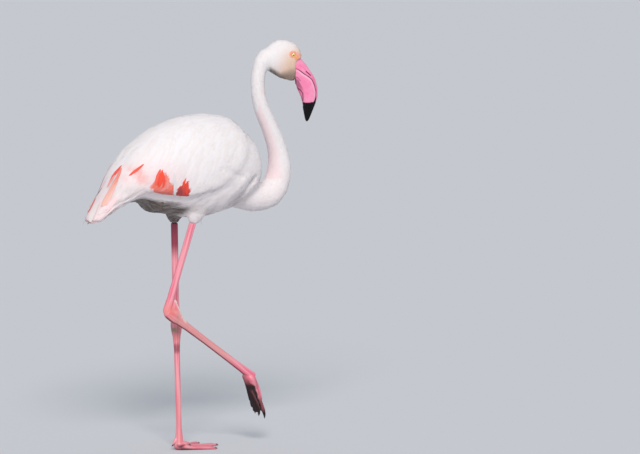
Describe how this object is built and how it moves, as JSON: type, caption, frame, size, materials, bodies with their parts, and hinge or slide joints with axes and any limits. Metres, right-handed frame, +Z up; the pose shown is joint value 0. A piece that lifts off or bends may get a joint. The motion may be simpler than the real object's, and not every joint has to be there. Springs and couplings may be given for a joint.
{
  "type": "greater flamingo",
  "caption": "Life-size standing greater flamingo, one foot lifted, neck in an S-curve, head turned and bill pointing down.",
  "frame": {"origin": "on the sole of the standing (left) foot, straight below the shank, in the middle plane of the body", "axes": "+X to the bird's front, +Y to its left, +Z up"},
  "size_m": [0.5413, 0.1884, 0.8524],
  "materials": {
    "plumage_white": "white contour feathers with a faint pink tint",
    "wing_plumage": "white and pale pink wing feathers with coral-red coverts and black flight feathers",
    "neck_plumage": "short off-white feathers, a little pinker behind",
    "face_plumage": "very short cream feathers, orange-pink bare skin around the eye",
    "bill": "satin pink horn with a black tip",
    "eye": "wet, pale yellow iris with a black pupil",
    "leg_skin": "fine-scaled coral-pink skin, greyer at the joints",
    "foot_skin": "scaled pink toes with dark webs and claws"
  },
  "bodies": {
    "root": {"trunk": "plumage_white", "wing_left": "wing_plumage", "wing_right": "wing_plumage", "tail": "plumage_white", "head": "face_plumage", "bill_upper": "bill", "bill_lower": "bill", "eye_left": "eye", "eye_right": "eye", "neck_lower": "neck_plumage", "neck_middle": "neck_plumage", "neck_upper": "neck_plumage", "thigh_left": "plumage_white", "thigh_right": "plumage_white", "shank_left": "leg_skin", "shank_right": "leg_skin", "tarsus_left": "leg_skin", "tarsus_right": "leg_skin", "foot_left": "foot_skin", "foot_right": "foot_skin"}
  },
  "joints": []
}
